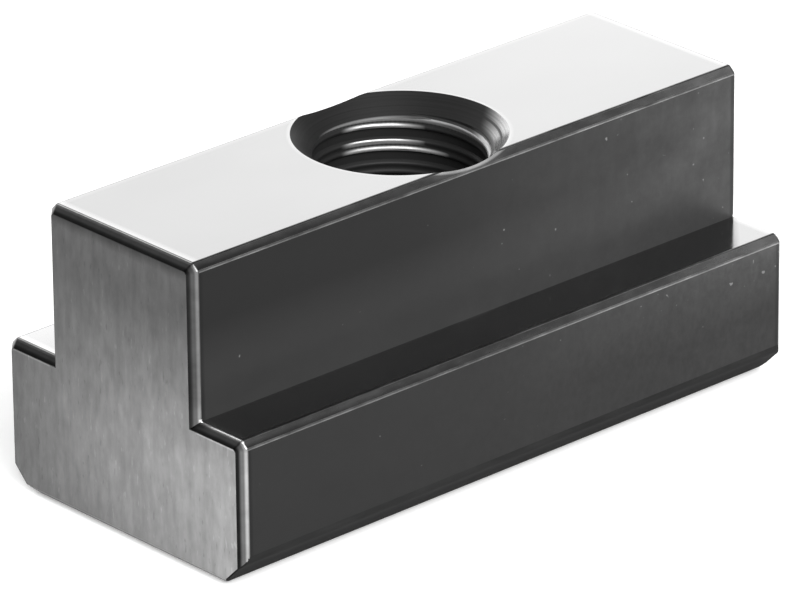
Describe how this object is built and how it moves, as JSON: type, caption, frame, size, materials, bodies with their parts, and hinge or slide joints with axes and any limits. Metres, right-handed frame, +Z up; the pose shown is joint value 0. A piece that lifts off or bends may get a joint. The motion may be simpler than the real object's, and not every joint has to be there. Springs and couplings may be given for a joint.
{
  "type": "t slot nut",
  "caption": "Long T slot nut: a steel block of T section with broken edges and a tapped, countersunk bore up through its neck.",
  "frame": {"origin": "middle of the underside, on the axis of the tapped bore", "axes": "+X along the slot and the nut's length, +Y across the slot, +Z up the bore, from the base to the neck"},
  "size_m": [0.074, 0.035, 0.0325],
  "materials": {
    "steel": "ground top, ledges and ends, darkened long sides, chamfers and bore"
  },
  "bodies": {
    "root": {"t_slot_nut": "steel"}
  },
  "joints": []
}
